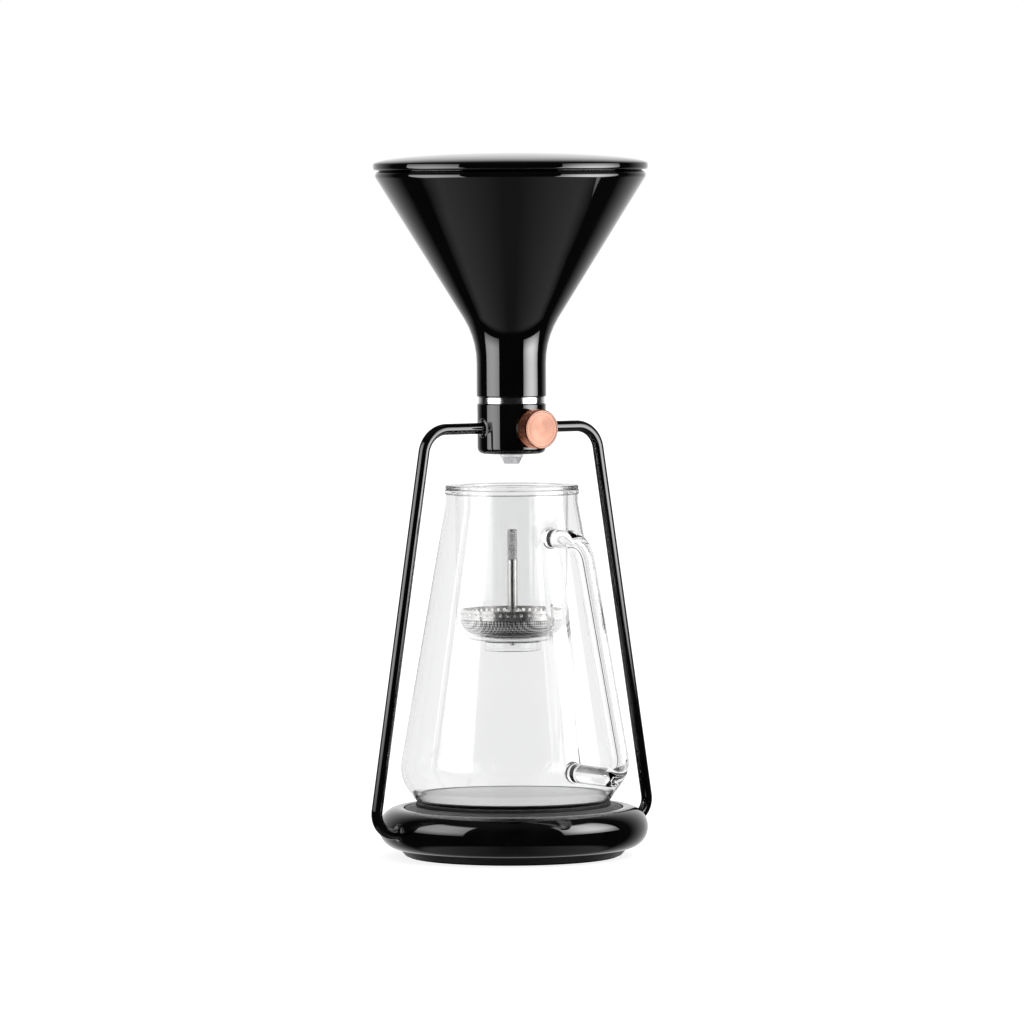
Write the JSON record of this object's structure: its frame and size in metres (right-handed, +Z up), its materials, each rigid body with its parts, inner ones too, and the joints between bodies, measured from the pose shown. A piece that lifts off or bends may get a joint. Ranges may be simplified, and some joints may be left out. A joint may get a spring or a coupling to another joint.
{
  "type": "cold brew coffee maker",
  "caption": "Stand with a lidded black funnel on a drip valve, held by bent wires over a round scale with a glass pitcher and a steel filter.",
  "frame": {"origin": "centre of the base on the surface it stands on, on the axis of the funnel and the valve", "axes": "+Z up along the axis, +X and -X to the two wires, -Y to the valve knob and the pitcher's handle"},
  "size_m": [0.1766, 0.183, 0.3762],
  "materials": {
    "black_glaze": "glossy black glaze",
    "black_enamel": "glossy black enamel on steel",
    "black_plastic": "satin black moulded plastic",
    "black_silicone": "matte black silicone",
    "polished_steel": "polished stainless steel",
    "knurled_steel": "fine diamond knurl on stainless steel",
    "steel_mesh": "fine woven stainless mesh",
    "sheet_steel": "zinc plated steel",
    "aluminium": "satin machined aluminium",
    "copper": "spun copper face, straight knurled side",
    "clear_glass": "clear borosilicate glass",
    "clear_plastic": "clear slightly frosted plastic",
    "board_green": "green circuit board"
  },
  "bodies": {
    "stand": {"cover_screws": "sheet_steel", "chassis_screws": "sheet_steel", "base_ring": "black_enamel", "board_screws": "sheet_steel", "bottom_cover": "black_plastic", "base_mat": "black_silicone", "coin_cells": "polished_steel", "battery_holder": "black_plastic", "circuit_board": "board_green", "load_cell_screws": "sheet_steel", "chassis_plate": "sheet_steel", "load_cell_spacers": "aluminium", "load_cell": "aluminium", "platform_carrier": "aluminium", "platform": "black_plastic", "platform_pad": "black_silicone", "right_leg": "black_enamel", "left_leg": "black_enamel", "weld_beads": "black_enamel", "valve_body": "black_enamel", "packing_nut": "black_enamel", "drip_nozzle": "clear_plastic", "funnel_seal": "black_silicone"},
    "valve": {"valve_spindle": "polished_steel", "spindle_seals": "black_silicone", "knob": "copper", "knob_set_screw": "sheet_steel"},
    "funnel": {"funnel": "black_glaze", "funnel_ferrule": "polished_steel"},
    "lid": {"lid": "black_glaze"},
    "pitcher": {"pitcher": "clear_glass"},
    "insert": {"drip_insert": "clear_glass"},
    "filter": {"filter_seal": "black_silicone", "filter_mesh": "steel_mesh", "filter_cup": "polished_steel", "filter_stem": "polished_steel", "stem_grip": "knurled_steel", "stem_collar": "polished_steel", "stem_washer": "polished_steel", "stem_nut": "polished_steel"},
    "battery_door": {"battery_door": "black_plastic"},
    "power_button": {"power_button": "black_silicone"}
  },
  "joints": [
    {"name": "funnel_lift", "type": "slide", "parent": "stand", "child": "funnel", "axis": [0, 0, 1], "range_m": [0, 0.05]},
    {"name": "lid_lift", "type": "slide", "parent": "funnel", "child": "lid", "axis": [0, 0, 1], "range_m": [0, 0.05]},
    {"name": "knob_turn", "type": "hinge", "parent": "stand", "child": "valve", "pos_m": [0, 0, 0.2295], "axis": [0, -1, 0], "range_deg": [0, 90]},
    {"name": "pitcher_slide", "type": "slide", "parent": "stand", "child": "pitcher", "axis": [0, -1, 0], "range_m": [0, 0.2]},
    {"name": "insert_lift", "type": "slide", "parent": "pitcher", "child": "insert", "axis": [0, 0, 1], "range_m": [0, 0.018]},
    {"name": "filter_lift", "type": "slide", "parent": "insert", "child": "filter", "axis": [0, 0, 1], "range_m": [0, 0.015]},
    {"name": "battery_door_turn", "type": "hinge", "parent": "stand", "child": "battery_door", "pos_m": [-0.022, 0, 0], "axis": [0, 0, 1], "range_deg": [0, 60]},
    {"name": "button_press", "type": "slide", "parent": "stand", "child": "power_button", "axis": [0, 0, 1], "range_m": [0, 0.0005], "stiffness_N_per_m": 400}
  ]
}
